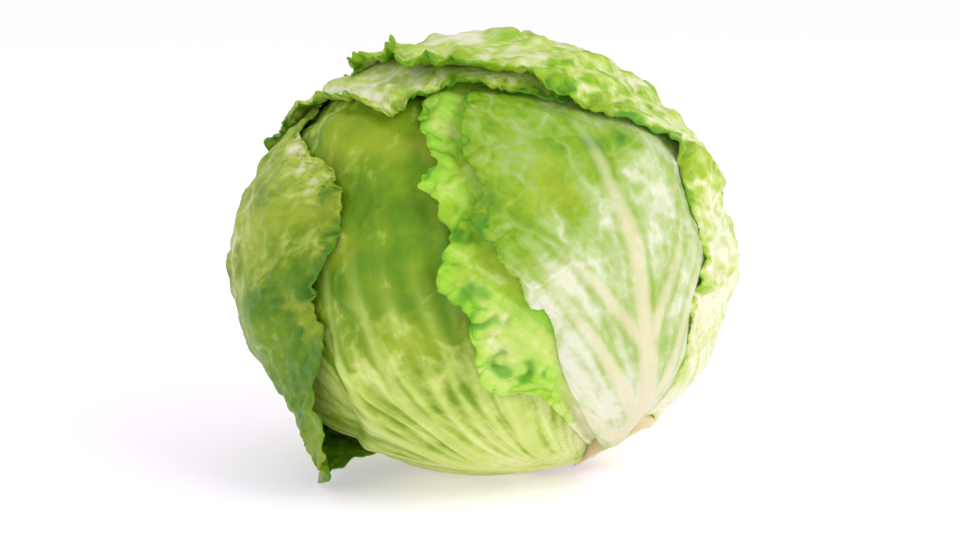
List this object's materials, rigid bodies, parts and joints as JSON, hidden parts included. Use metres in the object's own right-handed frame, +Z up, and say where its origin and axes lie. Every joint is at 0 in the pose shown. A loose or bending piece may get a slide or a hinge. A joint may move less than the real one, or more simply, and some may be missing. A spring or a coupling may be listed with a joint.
{
  "type": "iceberg lettuce head",
  "caption": "Dense round lettuce head lying on its side: wrapped waved leaves over a packed heart, with the cut stem low at one side.",
  "frame": {"origin": "on the surface that the head lies on, under the middle of its outer box", "axes": "+X to the viewer's right in the picture, +Y away from the viewer, +Z up; the stem points down, right and a little forwards"},
  "size_m": [0.1634, 0.1583, 0.1409],
  "materials": {
    "heart": "pale inner leaf, satin",
    "stem": "cut stem, moist matte",
    "inner_back_leaf": "waxy leaf, satin",
    "inner_front_leaf": "waxy leaf, satin",
    "inner_right_leaf": "waxy leaf, satin",
    "inner_left_leaf": "waxy leaf, satin",
    "bottom_leaf": "waxy leaf, satin",
    "front_under_leaf": "waxy leaf, satin",
    "loose_left_leaf": "waxy leaf, satin",
    "front_right_leaf": "waxy leaf, satin",
    "crown_leaf": "waxy leaf, satin",
    "back_right_leaf": "waxy leaf, satin"
  },
  "bodies": {
    "root": {"heart": "heart", "stem": "stem", "inner_back_leaf": "inner_back_leaf", "inner_front_leaf": "inner_front_leaf", "inner_right_leaf": "inner_right_leaf", "inner_left_leaf": "inner_left_leaf", "bottom_leaf": "bottom_leaf", "front_under_leaf": "front_under_leaf", "loose_left_leaf": "loose_left_leaf", "front_right_leaf": "front_right_leaf", "crown_leaf": "crown_leaf", "back_right_leaf": "back_right_leaf"}
  },
  "joints": []
}
